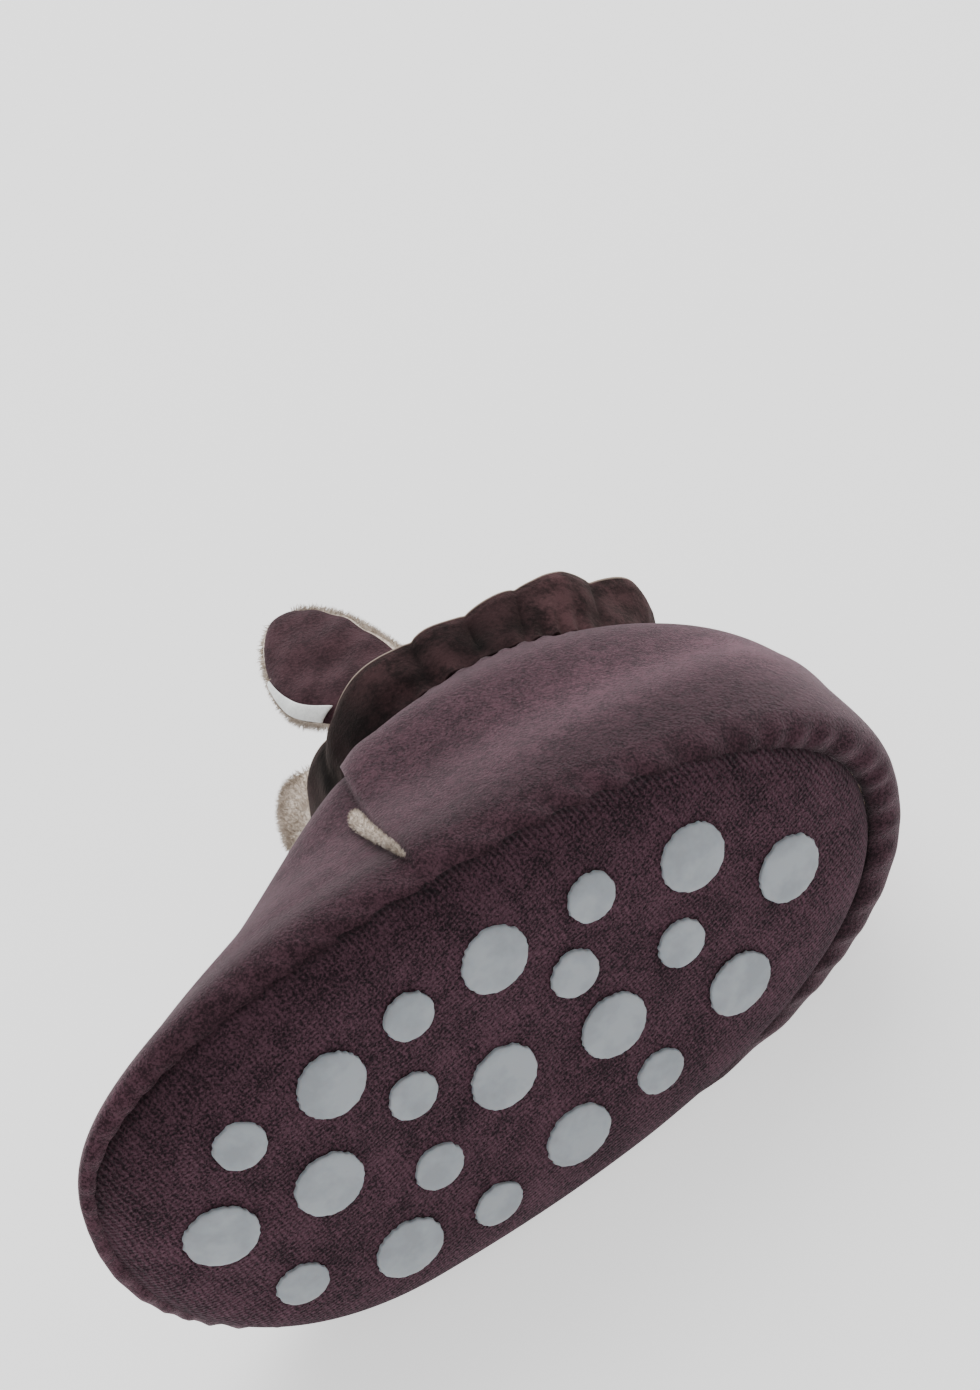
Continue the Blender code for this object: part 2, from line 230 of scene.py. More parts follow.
def linear(code):
    values = [int(code[i:i + 2], 16) / 255.0 for i in (1, 3, 5)]
    return (*[v / 12.92 if v <= 0.04045 else ((v + 0.055) / 1.055) ** 2.4 for v in values], 1.0)


def addNode(tree, kind, settings=None, links=None):
    node = tree.nodes.new(kind)
    for name, value in (settings or {}).items():
        if isinstance(name, str) and hasattr(node, name):
            setattr(node, name, value)
        else:
            node.inputs[name].default_value = value
    for name, socket in (links or {}).items():
        tree.links.new(socket, node.inputs[name])
    return node


def newMaterial(name, roughness, extra):
    material = bpy.data.materials.new(name)
    material.use_nodes = True
    tree = material.node_tree
    shader = tree.nodes["Principled BSDF"]
    shader.inputs["Roughness"].default_value = roughness
    for key, value in extra.items():
        shader.inputs[key].default_value = value
    return material, tree, shader


def clothColour(tree, place, dark, light, patch, grain, grainShare=0.5):
    # a slow patchiness and a fine grain, mixed between two dyes
    slow = addNode(tree, "ShaderNodeTexNoise", {
        "Scale": 1.0 / (patch * mm), "Detail": 3.0, "Roughness": 0.6,
    }, {"Vector": place})
    fine = addNode(tree, "ShaderNodeTexNoise", {
        "Scale": 1.0 / (grain * mm), "Detail": 2.0, "Roughness": 0.7,
    }, {"Vector": place})
    both = addNode(tree, "ShaderNodeMix", {"data_type": "FLOAT"})
    both.inputs[0].default_value = grainShare
    tree.links.new(slow.outputs["Fac"], both.inputs[2])
    tree.links.new(fine.outputs["Fac"], both.inputs[3])
    ramp = addNode(tree, "ShaderNodeValToRGB", {}, {"Fac": both.outputs[0]})
    ramp.color_ramp.elements[0].position = 0.41
    ramp.color_ramp.elements[0].color = linear(dark)
    ramp.color_ramp.elements[1].position = 0.59
    ramp.color_ramp.elements[1].color = linear(light)
    return ramp, fine


def shaded(tree, colour, edgeColour=None):
    # painted shade and painted highlights of each piece, with some random tone, from its shade attribute: 0
    # leaves the dye as it is
    shade = addNode(tree, "ShaderNodeAttribute", {"attribute_name": "shade"})
    factor = addNode(tree, "ShaderNodeMath", {"operation": "ADD", 1: 1.0}, {0: shade.outputs["Fac"]})
    dyeWithPaintedShade = addNode(tree, "ShaderNodeMix", {
        "data_type": "RGBA", "blend_type": "MULTIPLY", 0: 1.0,
    }, {6: colour, 7: factor.outputs[0]})
    if edgeColour is None:
        return dyeWithPaintedShade.outputs[2]
    rim = addNode(tree, "ShaderNodeAttribute", {"attribute_name": "rim"})
    edged = addNode(tree, "ShaderNodeMix", {
        "data_type": "RGBA", 7: linear(edgeColour),
    }, {0: rim.outputs["Fac"], 6: dyeWithPaintedShade.outputs[2]})
    return edged.outputs[2]


def roughen(tree, shader, height, strength, depth):
    bump = addNode(tree, "ShaderNodeBump", {"Strength": strength, "Distance": depth * mm}, {"Height": height})
    tree.links.new(bump.outputs["Normal"], shader.inputs["Normal"])


def makeVelour(look):
    # cotton velour: a dense short cut pile, deep in colour face on and paler where seen along the pile
    material, tree, shader = newMaterial(look["name"], 0.96, {
        "Specular IOR Level": 0.12, "Sheen Weight": look["sheen"],
        "Sheen Roughness": 0.42, "Sheen Tint": linear(look["sheenTint"]),
    })
    place = addNode(tree, "ShaderNodeTexCoord").outputs["Object"]
    ramp, _ = clothColour(
        tree, place, look["dark"], look["light"], look["patch"], look["grain"], look["grainShare"],
    )
    nap = addNode(tree, "ShaderNodeTexNoise", {
        "Scale": 1.0 / (0.55 * mm), "Detail": 4.0, "Roughness": 0.75,
    }, {"Vector": place})
    # the dye darkened by painted shade and lightened by painted highlights
    dyeWithPaintedShade = shaded(tree, ramp.outputs["Color"], look.get("edgeColour"))
    tree.links.new(dyeWithPaintedShade, shader.inputs["Base Color"])
    roughen(tree, shader, nap.outputs["Fac"], look["bump"], 0.35)
    return material


def waveScale(pitch):
    # the wave texture turns once in 2 pi / 20 of its unit, and the plan map's unit is 100 mm
    return 2.0 * np.pi / 20.0 * 100.0 / pitch


def makeKnit(look):
    # cotton jersey: ribs of small stitches run across the sole, dark between them
    material, tree, shader = newMaterial("plumKnitJersey", 0.94, {
        "Specular IOR Level": 0.12, "Sheen Weight": 0.12,
        "Sheen Roughness": 0.5, "Sheen Tint": linear(look["sheenTint"]),
    })
    plan = addNode(tree, "ShaderNodeUVMap", {"uv_map": "plan"}).outputs["UV"]
    place = addNode(tree, "ShaderNodeTexCoord").outputs["Object"]
    turned = addNode(tree, "ShaderNodeMapping", {"Rotation": (0.0, 0.0, look["ribTurn"])}, {"Vector": plan})
    bend = addNode(tree, "ShaderNodeTexNoise", {"Scale": 1.0 / (6.0 * mm), "Detail": 1.0}, {"Vector": place})
    shifted = addNode(tree, "ShaderNodeVectorMath", {
        "operation": "MULTIPLY_ADD", 1: look["wander"],
    }, {0: bend.outputs["Color"], 2: turned.outputs["Vector"]})
    ribs = addNode(tree, "ShaderNodeTexWave", {
        "bands_direction": "X", "Scale": waveScale(look["ribPitch"]),
        "Distortion": 2.2, "Detail": 2.0, "Detail Scale": 2.0,
    }, {"Vector": shifted.outputs["Vector"]})
    stitches = addNode(tree, "ShaderNodeTexWave", {
        "bands_direction": "Y", "Scale": waveScale(look["stitchPitch"]),
        "Distortion": 3.0, "Detail": 2.0, "Detail Scale": 3.0,
    }, {"Vector": shifted.outputs["Vector"]})
    knit = addNode(tree, "ShaderNodeMath", {
        "operation": "MULTIPLY_ADD", 1: look["stitchShare"],
    }, {0: stitches.outputs["Fac"], 2: ribs.outputs["Fac"]})
    ramp, fine = clothColour(
        tree, place, look["dark"], look["light"], look["patch"], look["grain"], look["grainShare"],
    )
    shade = addNode(tree, "ShaderNodeMapRange", {
        "From Min": 0.0, "From Max": 1.2, "To Min": 0.74, "To Max": 1.08,
    }, {"Value": knit.outputs[0]})
    tinted = addNode(tree, "ShaderNodeMix", {
        "data_type": "RGBA", "blend_type": "MULTIPLY", 0: 1.0,
    }, {6: ramp.outputs["Color"], 7: shade.outputs[0]})
    fuzz = addNode(tree, "ShaderNodeMath", {
        "operation": "MULTIPLY_ADD", 1: look["fuzz"],
    }, {0: fine.outputs["Fac"], 2: knit.outputs[0]})
    tree.links.new(shaded(tree, tinted.outputs[2]), shader.inputs["Base Color"])
    roughen(tree, shader, fuzz.outputs[0], 0.8, 0.25)
    return material


def makeSilicone():
    # printed silicone: smooth, softly glossy, a little light passes in at the edges
    material, tree, shader = newMaterial("greySilicone", 0.42, {
        "IOR": 1.41, "Specular IOR Level": 0.4, "Subsurface Weight": 0.15, "Subsurface Scale": 0.4 * mm,
    })
    place = addNode(tree, "ShaderNodeTexCoord").outputs["Object"]
    ramp, fine = clothColour(tree, place, "#868b90", "#959a9f", 7.0, 1.4, 0.15)
    tree.links.new(ramp.outputs["Color"], shader.inputs["Base Color"])
    roughen(tree, shader, fine.outputs["Fac"], 0.12, 0.1)
    return material


def makeSatin():
    # woven polyester satin: fine, smooth and faintly glossy along its threads
    material, tree, shader = newMaterial("whiteSatin", 0.38, {"Specular IOR Level": 0.45, "Sheen Weight": 0.2})
    place = addNode(tree, "ShaderNodeTexCoord").outputs["Object"]
    ramp, fine = clothColour(tree, place, "#d5d8d6", "#eceeec", 3.0, 0.4, 0.4)
    tree.links.new(ramp.outputs["Color"], shader.inputs["Base Color"])
    roughen(tree, shader, fine.outputs["Fac"], 0.15, 0.1)
    return material


velour = makeVelour({
    "name": "plumVelour", "dark": "#25171d", "light": "#4b323b", "sheenTint": "#dcc8ce",
    "sheen": 0.42, "patch": 2.2, "grain": 0.4, "grainShare": 0.68, "bump": 0.8,
})
frillVelour = makeVelour({
    "name": "plumPlushVelour", "dark": "#1b1112", "light": "#3a2729", "sheenTint": "#b59c94",
    "edgeColour": "#a8998c", "sheen": 0.16, "patch": 4.0, "grain": 0.6, "grainShare": 0.35, "bump": 0.6,
})
plush = makeVelour({
    "name": "creamPlush", "dark": "#b2a496", "light": "#dfd3c7", "sheenTint": "#f3ece2",
    "sheen": 0.35, "patch": 2.4, "grain": 0.5, "grainShare": 0.5, "bump": 0.9,
})
knit = makeKnit({
    "dark": "#1f141a", "light": "#523742", "sheenTint": "#c9b3bb",
    "patch": 5.0, "grain": 0.36, "grainShare": 0.72,
    "ribPitch": 0.85, "stitchPitch": 0.6, "ribTurn": 0.31, "stitchShare": 0.35, "wander": (0.006, 0.006, 0.0),
    "fuzz": 0.8,
})
silicone = makeSilicone()
satin = makeSatin()
print("materials made")


# Upper: vamp and quarter

upper = {
    "columns": 300, "rows": 150, "wall": 2.0, "startLevel": 0.01, "lap": 0.9, "lapFullLevel": 0.12,
    "vampShare": 0.4, "lapShare": 0.0067, "tuck": 1.7, "tuckReach": 1.5, "swell": 0.5, "pinch": 0.45,
    # painted shade and painted highlights on the velour, and random tone (patchy):
    "soleShadow": 0.85, "seamShadow": 0.55, "topShadow": 0.35,
    "paintedHighlightBand": 0.5, "paintedShadeBand": 0.35, "paintedHeelSheen": 0.6, "paintedToeSheen": 0.4, "patchy": 0.07,
    "pucker": 0.28, "puckers": 53, "dent": 0.45, "dentSize": 34.0, "gather": 0.22, "gathers": 45,
}


def upperTurns(u, levels):
    # columns spread so that one of them follows each side seam
    turns = np.empty_like(u)
    rows = np.round(levels, 6)
    for level in np.unique(rows):
        here = rows == level
        for outer in (True, False):
            half = here & ((u <= 0.5) if outer else (u > 0.5))
            share = u[half] * 2.0 if outer else (1.0 - u[half]) * 2.0
            front = 0.0 if outer else 1.0
            seam = turnAt(level, seamX(level), outer)
            lap = turnAt(level, seamX(level) + shoe["lapWidth"], outer)
            lapped = upper["vampShare"] + upper["lapShare"]
            turns[half] = np.interp(share, (0.0, upper["vampShare"], lapped, 1.0), (front, seam, lap, 0.5))
    return turns


def placeUpper(u, v):
    levels = upper["startLevel"] + (1.0 - upper["startLevel"]) * v ** 1.15
    turns = upperTurns(u, levels)
    points = upperSurface(turns, levels)
    normals = outward(turns, levels)
    x = points[:, 0]
    behindSeam = x - seamX(levels)
    beforeSeam = np.maximum(-behindSeam, 0.0)
    onVamp = behindSeam <= 0.0
    fromSole = (levels - upper["startLevel"]) * shoe["height"]
    toTop = 1.0 - levels
    lapFull = np.minimum(levels / upper["lapFullLevel"], 1.0)
    # the quarter's lap and the roll behind it, the vamp's dip before it, and the seam at the sole
    lift = upper["lap"] * smoothStep(behindSeam, 0.0, shoe["lapWidth"]) * lapFull
    lift += upper["swell"] * bump(behindSeam, 3.5, 2.6) * smoothStep(levels, 0.05, 0.3)
    lift -= upper["pinch"] * np.exp(-beforeSeam / 1.2) * onVamp * smoothStep(levels, 0.05, 0.25)
    lift -= upper["tuck"] * np.exp(-fromSole / upper["tuckReach"])
    lift += upper["pucker"] * roundWave(turns, upper["puckers"], 1.3, 10) * bump(fromSole, 2.2, 2.4)
    lift += upper["gather"] * roundWave(turns, upper["gathers"], 1.9, 7) * np.exp(-toTop / 0.045)
    dents = soft(points, upper["dentSize"], 3) * smoothStep(levels, 0.06, 0.3) * smoothStep(toTop, 0.0, 0.2)
    lift += upper["dent"] * dents
    # painted shade and painted highlights: shadow in the seam at the sole, before the quarter's edge and below
    # the collar, a shaded band low on the quarter, a highlight band across its middle and painted sheen at the
    # heel and toe; patchy is random tone
    shade = upper["patchy"] * soft(points, 16.0, 4)
    shade -= upper["soleShadow"] * np.exp(-fromSole / 0.9)
    shade += upper["paintedHighlightBand"] * bump(levels, 0.44, 0.13) * smoothStep(x, 72.0, 98.0)
    shade -= upper["paintedShadeBand"] * bump(levels, 0.17, 0.09)
    shade += upper["paintedHeelSheen"] * smoothStep(x, 110.0, 127.0) * smoothStep(levels, 0.08, 0.25)
    shade += upper["paintedToeSheen"] * smoothStep(-x, -26.0, -8.0)
    shade -= upper["seamShadow"] * np.exp(-beforeSeam / 1.3) * onVamp * smoothStep(levels, 0.02, 0.1)
    shade -= upper["topShadow"] * np.exp(-toTop / 0.03)
    plan = np.column_stack([turns * shoe["girth"], fromSole])
    return onFloor(points + normals * lift[:, None]), plan, {"shade": shade}


upperPiece = makePiece(
    "upperShell", gridMesh(upper["columns"], upper["rows"], placeUpper), [velour, plush], upper["wall"], 0, 1,
)
upperPiece.modifiers["wall"].material_offset_rim = 0
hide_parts("upper")
print("upper made")


# Sole and insole: pads inside the seam's outline

sole = {
    "columns": 176, "rows": 68, "wall": 0.8, "roll": 2.1, "rollReach": 1.4, "quilt": 0.16, "quiltSize": 17.0,
    # painted shade, and random tone (patchy):
    "edgeShadow": 0.8, "nearShadowBand": 0.16, "patchy": 0.05,
}
insole = {"columns": 120, "rows": 40, "lift": 1.9, "thickness": 2.4, "inset": 3.4, "squareness": 12}


def soleSurface(turns, share):
    edge = ring(upperRings[0], turns)
    centre = np.array(shoe["soleCentre"])
    reach = np.linalg.norm(edge[:, :2] - centre, axis=1)
    plan = centre + (edge[:, :2] - centre) * share[:, None]
    return np.column_stack([plan, edge[:, 2] * share ** shoe["crownPower"]]), reach


def placeSole(u, v):
    share = 1.0 - (1.0 - v) ** 1.25
    points, reach = soleSurface(u, share)
    inset = reach * (1.0 - share)
    points[:, 2] += sole["roll"] * np.exp(-inset / sole["rollReach"])
    flatPoints = points * np.array([1.0, 1.0, 0.0])
    points[:, 2] += sole["quilt"] * soft(flatPoints, sole["quiltSize"], 5) * smoothStep(inset, 0.0, 5.0)
    nearSide = smoothStep(-points[:, 1], -4.0, 14.0)
    # painted shade: shadow along the seam round the edge and a soft shadow band inside the near edge; patchy is
    # random tone
    shade = sole["patchy"] * soft(flatPoints, 14.0, 6)
    shade -= sole["edgeShadow"] * np.exp(-inset / 0.9)
    shade -= sole["nearShadowBand"] * bump(inset, 4.0, 4.5) * nearSide
    return onFloor(points), points[:, :2], {"shade": shade}


solePiece = makePiece(
    "solePad", gridMesh(sole["columns"], sole["rows"], placeSole), [knit], sole["wall"],
)
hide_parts("sole")


def placeInsole(u, v):
    # up the middle, over the rounded edge and back under, as one closed skin
    profile = v * 2.0
    top = profile <= 1.0
    share = np.where(top, profile, 2.0 - profile)
    rounded = np.sin(np.clip(share, 0.0, 1.0) * np.pi / 2.0)
    _, reach = soleSurface(u, rounded)
    points, _ = soleSurface(u, rounded * (1.0 - insole["inset"] / reach))
    half = insole["thickness"] / 2.0
    bulge = np.sqrt(np.maximum(1.0 - rounded ** insole["squareness"], 0.0)) * half
    points[:, 2] += insole["lift"] + half + np.where(top, bulge, -bulge)
    return onFloor(points), points[:, :2]


insolePiece = makePiece("insolePad", gridMesh(insole["columns"], insole["rows"], placeInsole), [plush], 0.0, 0)
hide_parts("insole")
print("sole made")


# Grip dots, printed on the sole's own curve

dotColumns = ("x", "y", "radius")
gripDots = (
    (17.7, 6.6, 5.0), (23.6, -6.7, 3.65), (26.1, 20.6, 3.65), (33.3, 5.7, 5.0), (37.7, -9.3, 5.0),
    (41.5, 23.5, 5.0), (47.9, -1.0, 3.65), (48.5, 12.4, 3.65), (50.7, -13.3, 3.65), (55.3, 24.5, 3.65),
    (60.9, 4.2, 5.0), (64.4, -14.5, 5.0), (68.9, 20.7, 5.0), (74.6, -5.5, 3.65), (77.9, 6.1, 5.0),
    (80.0, -15.4, 3.65), (82.8, 18.2, 3.65), (90.5, -0.5, 3.65), (95.6, -12.2, 5.0), (97.4, 11.9, 5.0),
    (108.9, -1.1, 5.0),
)
dot = {
    "height": 0.75, "lift": 0.12, "ragged": 0.17, "teethPerMm": 1.9,
    "columns": 160, "rows": 12, "edgePower": 0.4,
}


def soleHeight(x, y, bearings=720):
    turns = np.arange(bearings) / bearings
    edge = ring(upperRings[0], turns)
    away = edge[:, :2] - np.array(shoe["soleCentre"])
    bearing = np.arctan2(away[:, 1], away[:, 0])
    order = np.argsort(bearing)
    hereX, hereY = x - shoe["soleCentre"][0], y - shoe["soleCentre"][1]
    angle = np.arctan2(hereY, hereX)
    reach = np.interp(angle, bearing[order], np.linalg.norm(away, axis=1)[order], period=2 * np.pi)
    height = np.interp(angle, bearing[order], edge[order, 2], period=2 * np.pi)
    return height * (np.hypot(hereX, hereY) / reach) ** shoe["crownPower"]


def placeDot(row, seed):
    spot = dict(zip(dotColumns, row))
    count = int(2.0 * np.pi * spot["radius"] * dot["teethPerMm"])
    teeth = np.random.default_rng(seed).uniform(-1.0, 1.0, count)

    def place(u, v):
        angle = u * 2.0 * np.pi
        jag = np.interp(u * count, np.arange(count + 1), np.append(teeth, teeth[0]))
        out = np.sin(v * np.pi / 2.0) ** dot["edgePower"]
        radius = spot["radius"] * out * (v > 0.0) + jag * dot["ragged"] * v ** 4
        x = spot["x"] + radius * np.cos(angle)
        y = spot["y"] + radius * np.sin(angle)
        rise = dot["height"] * np.cos(v * np.pi / 2.0) ** dot["edgePower"] * (v < 1.0)
        z = soleHeight(x, y) - rise - dot["lift"]
        return np.column_stack([x, y, z]), np.column_stack([x, y])

    return place


for number, row in enumerate(gripDots, start=1):
    bm = gridMesh(dot["columns"], dot["rows"], placeDot(row, number))
    piece = makePiece(f"gripDot{number:02d}", bm, [silicone], 0.0, 0)
    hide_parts(f"grip_dot_{number:02d}")
print("grip dots made")


# Collar: a gathered frill in large rounded lobes

creaseAngles = (8, 34, 79, 97, 112, 140, 180, 220, 248, 263, 281, 326)
collar = {
    "columnsInLobe": 22, "rows": 44, "wall": 2.2, "height": 13.0, "girth": 170.0, "middle": (90.0, 1.5),
    "lobeBulge": 1.9, "lobeRise": 0.6, "lobeFullness": 0.55, "evenLobe": 0.62, "fullLobe": 40.0,
    "creaseDepth": 1.0, "flarePower": 1.25, "foldDepth": 0.75, "folds": 44, "lipRoll": 0.5,
    "dent": 0.5, "dentSize": 11.0, "frontSwell": 1.3, "frontTurn": 304.0, "frontWidth": 20.0,
    # painted shade and painted light, and random tone (patchy):
    "frontShade": 0.6, "patchy": 0.2, "paintedBackLight": 0.35,
    "creaseShadow": 0.75, "creaseWidth": 4.5, "footShadow": 0.35,
}


def placeCollar(u, v):
    creases = np.array(creaseAngles) / 360.0
    bounds = np.append(creases, creases[0] + 1.0)
    place = u * len(creases)
    number = np.minimum(place.astype(int), len(creases) - 1)
    t = place - number
    turns = bounds[number] + (bounds[number + 1] - bounds[number]) * t
    # wide lobes keep their depth to the top edge, and narrow ones fade into it
    widths = np.diff(bounds) * 360.0
    fullness = np.minimum(widths / collar["fullLobe"], 1.0)
    full = np.interp(place - 0.5, np.arange(len(widths)), fullness, period=len(widths))
    evened = 1.0 - (1.0 - 0.7 * full) * smoothStep(v, 0.35, 0.95)
    lobe = np.maximum(np.sin(np.pi * t), 0.0) ** collar["lobeFullness"]
    lobe = collar["evenLobe"] + (lobe - collar["evenLobe"]) * evened
    topLevel = np.ones(len(turns))
    base = upperSurface(turns, topLevel) + outward(turns, topLevel) * upper["lap"] * 0.5
    base[:, 2] += 2.0 * shoe["gap"]
    top = ring(collarTop, turns)
    away = base - np.array([*collar["middle"], 0.0])
    away[:, 2] = 0.0
    away /= np.linalg.norm(away, axis=1, keepdims=True)
    rising = np.sin(0.5 * np.pi * v)
    fold = roundWave(turns, collar["folds"], 2.6, 6) * (0.6 + 0.4 * roundWave(turns, 8, 0.0, 1))
    bulge = (collar["lobeBulge"] * lobe - collar["creaseDepth"]) * rising
    bulge += collar["foldDepth"] * fold * np.exp(-v / 0.3)
    bulge -= collar["lipRoll"] * smoothStep(v, 0.82, 1.0)
    bulge += collar["frontSwell"] * bump(turns * 360.0, collar["frontTurn"], collar["frontWidth"]) * rising
    flare = v ** collar["flarePower"]
    points = base * (1.0 - flare)[:, None] + top * flare[:, None]
    points[:, 2] = base[:, 2] * (1.0 - v) + top[:, 2] * v
    points = points + away * bulge[:, None]
    points[:, 2] += collar["lobeRise"] * lobe * v ** 2
    dents = collar["dent"] * soft(points, collar["dentSize"], 11) * smoothStep(v, 0.1, 0.5)
    points += away * dents[:, None]
    crease = np.exp(-np.minimum(t, 1.0 - t) * widths[number] / collar["creaseWidth"])
    crease *= smoothStep(v, 0.02, 0.3) * (1.0 - 0.5 * smoothStep(v, 0.7, 1.0))
    # painted shade and painted light: shadow in the creases, at the frill's foot and over the front lobe, and
    # paler at the back where the light falls; patchy is random tone
    shade = collar["patchy"] * soft(points, 12.0, 12)
    shade -= collar["creaseShadow"] * crease
    shade -= collar["footShadow"] * np.exp(-v / 0.15)
    shade -= collar["frontShade"] * smoothStep(-points[:, 0], -84.0, -74.0)
    shade += collar["paintedBackLight"] * smoothStep(points[:, 0], 97.0, 108.0)
    plan = np.column_stack([turns * collar["girth"], v * collar["height"]])
    return onFloor(points), plan, {"shade": shade, "rim": smoothStep(v, 0.955, 0.99)}


collarPiece = makePiece(
    "frillCollar",
    gridMesh(collar["columnsInLobe"] * len(creaseAngles), collar["rows"], placeCollar),
    [frillVelour, plush], collar["wall"], 1, 1,
)
collarPiece.modifiers["wall"].material_offset_rim = 0
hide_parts("collar")
print("collar made")


# Ears: velour outside, plush inside, with plush round the edge

earColumns = ("height", "innerX", "outerX", "halfWidth", "halfThickness", "curl")
earSections = (
    (49.3, 82.0, 82.0, 5.0, 1.6, 1.0), (51.0, 82.0, 82.0, 5.6, 1.9, 1.0), (56.0, 81.8, 82.0, 6.2, 1.9, 1.0),
    (61.0, 81.3, 81.8, 6.5, 1.9, 0.95), (62.6, 81.0, 80.4, 6.8, 1.9, 0.7), (65.5, 79.6, 76.2, 8.8, 1.9, 0.3),
    (68.5, 79.4, 75.0, 9.1, 1.9, 0.0), (73.0, 79.5, 75.0, 8.4, 1.9, 0.0), (78.0, 79.8, 75.3, 7.2, 1.9, 0.0),
    (82.0, 79.9, 75.5, 5.4, 1.7, 0.0), (84.6, 80.0, 75.6, 3.6, 1.4, 0.0), (86.0, 80.0, 75.6, 1.8, 0.9, 0.0),
)
ear = {
    "columns": 96, "rows": 90, "fullness": 2.6, "halfThickness": 1.9, "face": (0.085, 0.43), "frontEdge": 0.06,
    "dent": 0.3, "dentSize": 8.0, "foot": 49.3, "reach": 36.9, "tipSquareness": 40, "smoothing": 0.8,
}


def earPoints(heights, angles, outer, away):
    side = "outer" if outer else "inner"
    table = dict(zip(earColumns, zip(*earSections)))
    steps = [ear["smoothing"] * k for k in (-2, -1, 0, 1, 2)]
    middle, half, thick, curl = (
        sum(np.interp(heights + step, table["height"], table[column]) for step in steps) / len(steps)
        for column in (side + "X", "halfWidth", "halfThickness", "curl")
    )
    power = 2.0 / ear["fullness"]
    fromMiddle = np.abs(2.0 * (heights - ear["foot"]) / ear["reach"] - 1.0)
    closing = np.sqrt(np.maximum(1.0 - fromMiddle ** ear["tipSquareness"], 0.0))
    along = np.sign(np.cos(angles)) * np.abs(np.cos(angles)) ** power * (half * closing + away)
    across = np.sign(np.sin(angles)) * np.abs(np.sin(angles)) ** power * (thick * closing + away)
    top = dict(zip(ringColumns, upperRings[-1]))
    share = (middle + along * curl - top[side + "X"]) / (top["toeX"] - top[side + "X"])
    wall = abs(top[side + "Y"]) * np.sqrt(np.maximum(1.0 - share ** 2, 0.0))
    y = wall - collar["wall"] - collar["creaseDepth"] - shoe["gap"] - ear["halfThickness"] + across
    return np.column_stack([middle + along, y if outer else -y, heights])


def placeEar(outer):
    def place(u, v):
        heights = ear["foot"] + ear["reach"] * (0.5 - 0.5 * np.cos(v * np.pi)) ** 0.9
        points = earPoints(heights, u * 2.0 * np.pi, outer, 0.0)
        points[:, 1] += ear["dent"] * soft(points, ear["dentSize"], 21) * smoothStep(heights, 62.0, 68.0)
        return points, np.column_stack([u * 100.0, heights])

    return place


def makeEar(name, node, outer):
    bm = gridMesh(ear["columns"], ear["rows"], placeEar(outer))
    layer = bm.loops.layers.uv["plan"]
    for face in bm.faces:
        turn = max(loop[layer].uv[0] for loop in face.loops)
        height = face.loops[0][layer].uv[1] * 100.0
        front = ear["face"][1] + ear["frontEdge"] * (1.0 - smoothStep(height, 76.0, 84.0))
        face.material_index = 0 if ear["face"][0] < turn < front else 1
    piece = makePiece(name, bm, [earVelour, plush], 0.0, 1)
    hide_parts(node)


earVelour = makeVelour({
    "name": "plumEarVelour", "dark": "#2a1b1f", "light": "#412c31", "sheenTint": "#d2bfc4",
    "sheen": 0.25, "patch": 3.0, "grain": 0.45, "grainShare": 0.5, "bump": 0.6,
})
makeEar("earInner", "ear_inner", False)
makeEar("earOuter", "ear_outer", True)
print("ears made")


# Blank satin tab on the near ear

tab = {"low": 62.8, "high": 74.5, "front": 168.0, "back": 128.0, "wall": 0.4, "off": 0.75}


def placeTab(u, v):
    heights = tab["low"] + (tab["high"] - tab["low"]) * v
    angles = np.radians(tab["front"] + (tab["back"] - tab["front"]) * u * (1.0 - 0.75 * v))
    return earPoints(heights, angles, False, tab["off"]), np.column_stack([u * 5.0, heights])


tabPiece = makePiece("earTab", gridMesh(12, 16, placeTab), [satin], tab["wall"], 1)
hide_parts("ear_label")


# Plush edge that stands out over the vamp at the inner side seam

edgeColumns = ("level", "width")
edgeSections = (
    (0.12, 0.3), (0.20, 0.8), (0.27, 1.2), (0.34, 1.6), (0.42, 1.9), (0.48, 2.0), (0.53, 1.7),
)
edge = {"columns": 28, "rows": 60, "height": 1.2}


def edgeSpots(v):
    table = dict(zip(edgeColumns, zip(*edgeSections)))
    levels = edgeSections[0][0] + (edgeSections[-1][0] - edgeSections[0][0]) * v
    return levels, np.interp(levels, table["level"], table["width"])


def overVamp(levels, x, lift):
    turns = np.array([turnAt(level, spot, False) for level, spot in zip(levels, x)])
    return upperSurface(turns, levels) + outward(turns, levels) * lift[:, None]


def placeEdge(u, v):
    levels, width = edgeSpots(v)
    closing = np.sqrt(np.maximum(1.0 - np.abs(2.0 * v - 1.0) ** 10, 0.0))
    angles = u * 2.0 * np.pi
    forward = width * 0.5 * (1.0 + np.cos(angles) * closing)
    lift = shoe["gap"] + edge["height"] * 0.5 * (1.0 + np.sin(angles) * closing)
    x = seamX(levels) - shoe["gap"] - forward
    return onFloor(overVamp(levels, x, lift)), np.column_stack([forward, levels * shoe["height"]])


edgePiece = makePiece("quarterEdge", gridMesh(edge["columns"], edge["rows"], placeEdge), [plush], 0.0, 0)
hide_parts("quarter_edge")
print("tab and edge made")


# Pile: short tufts that roughen the plush edges

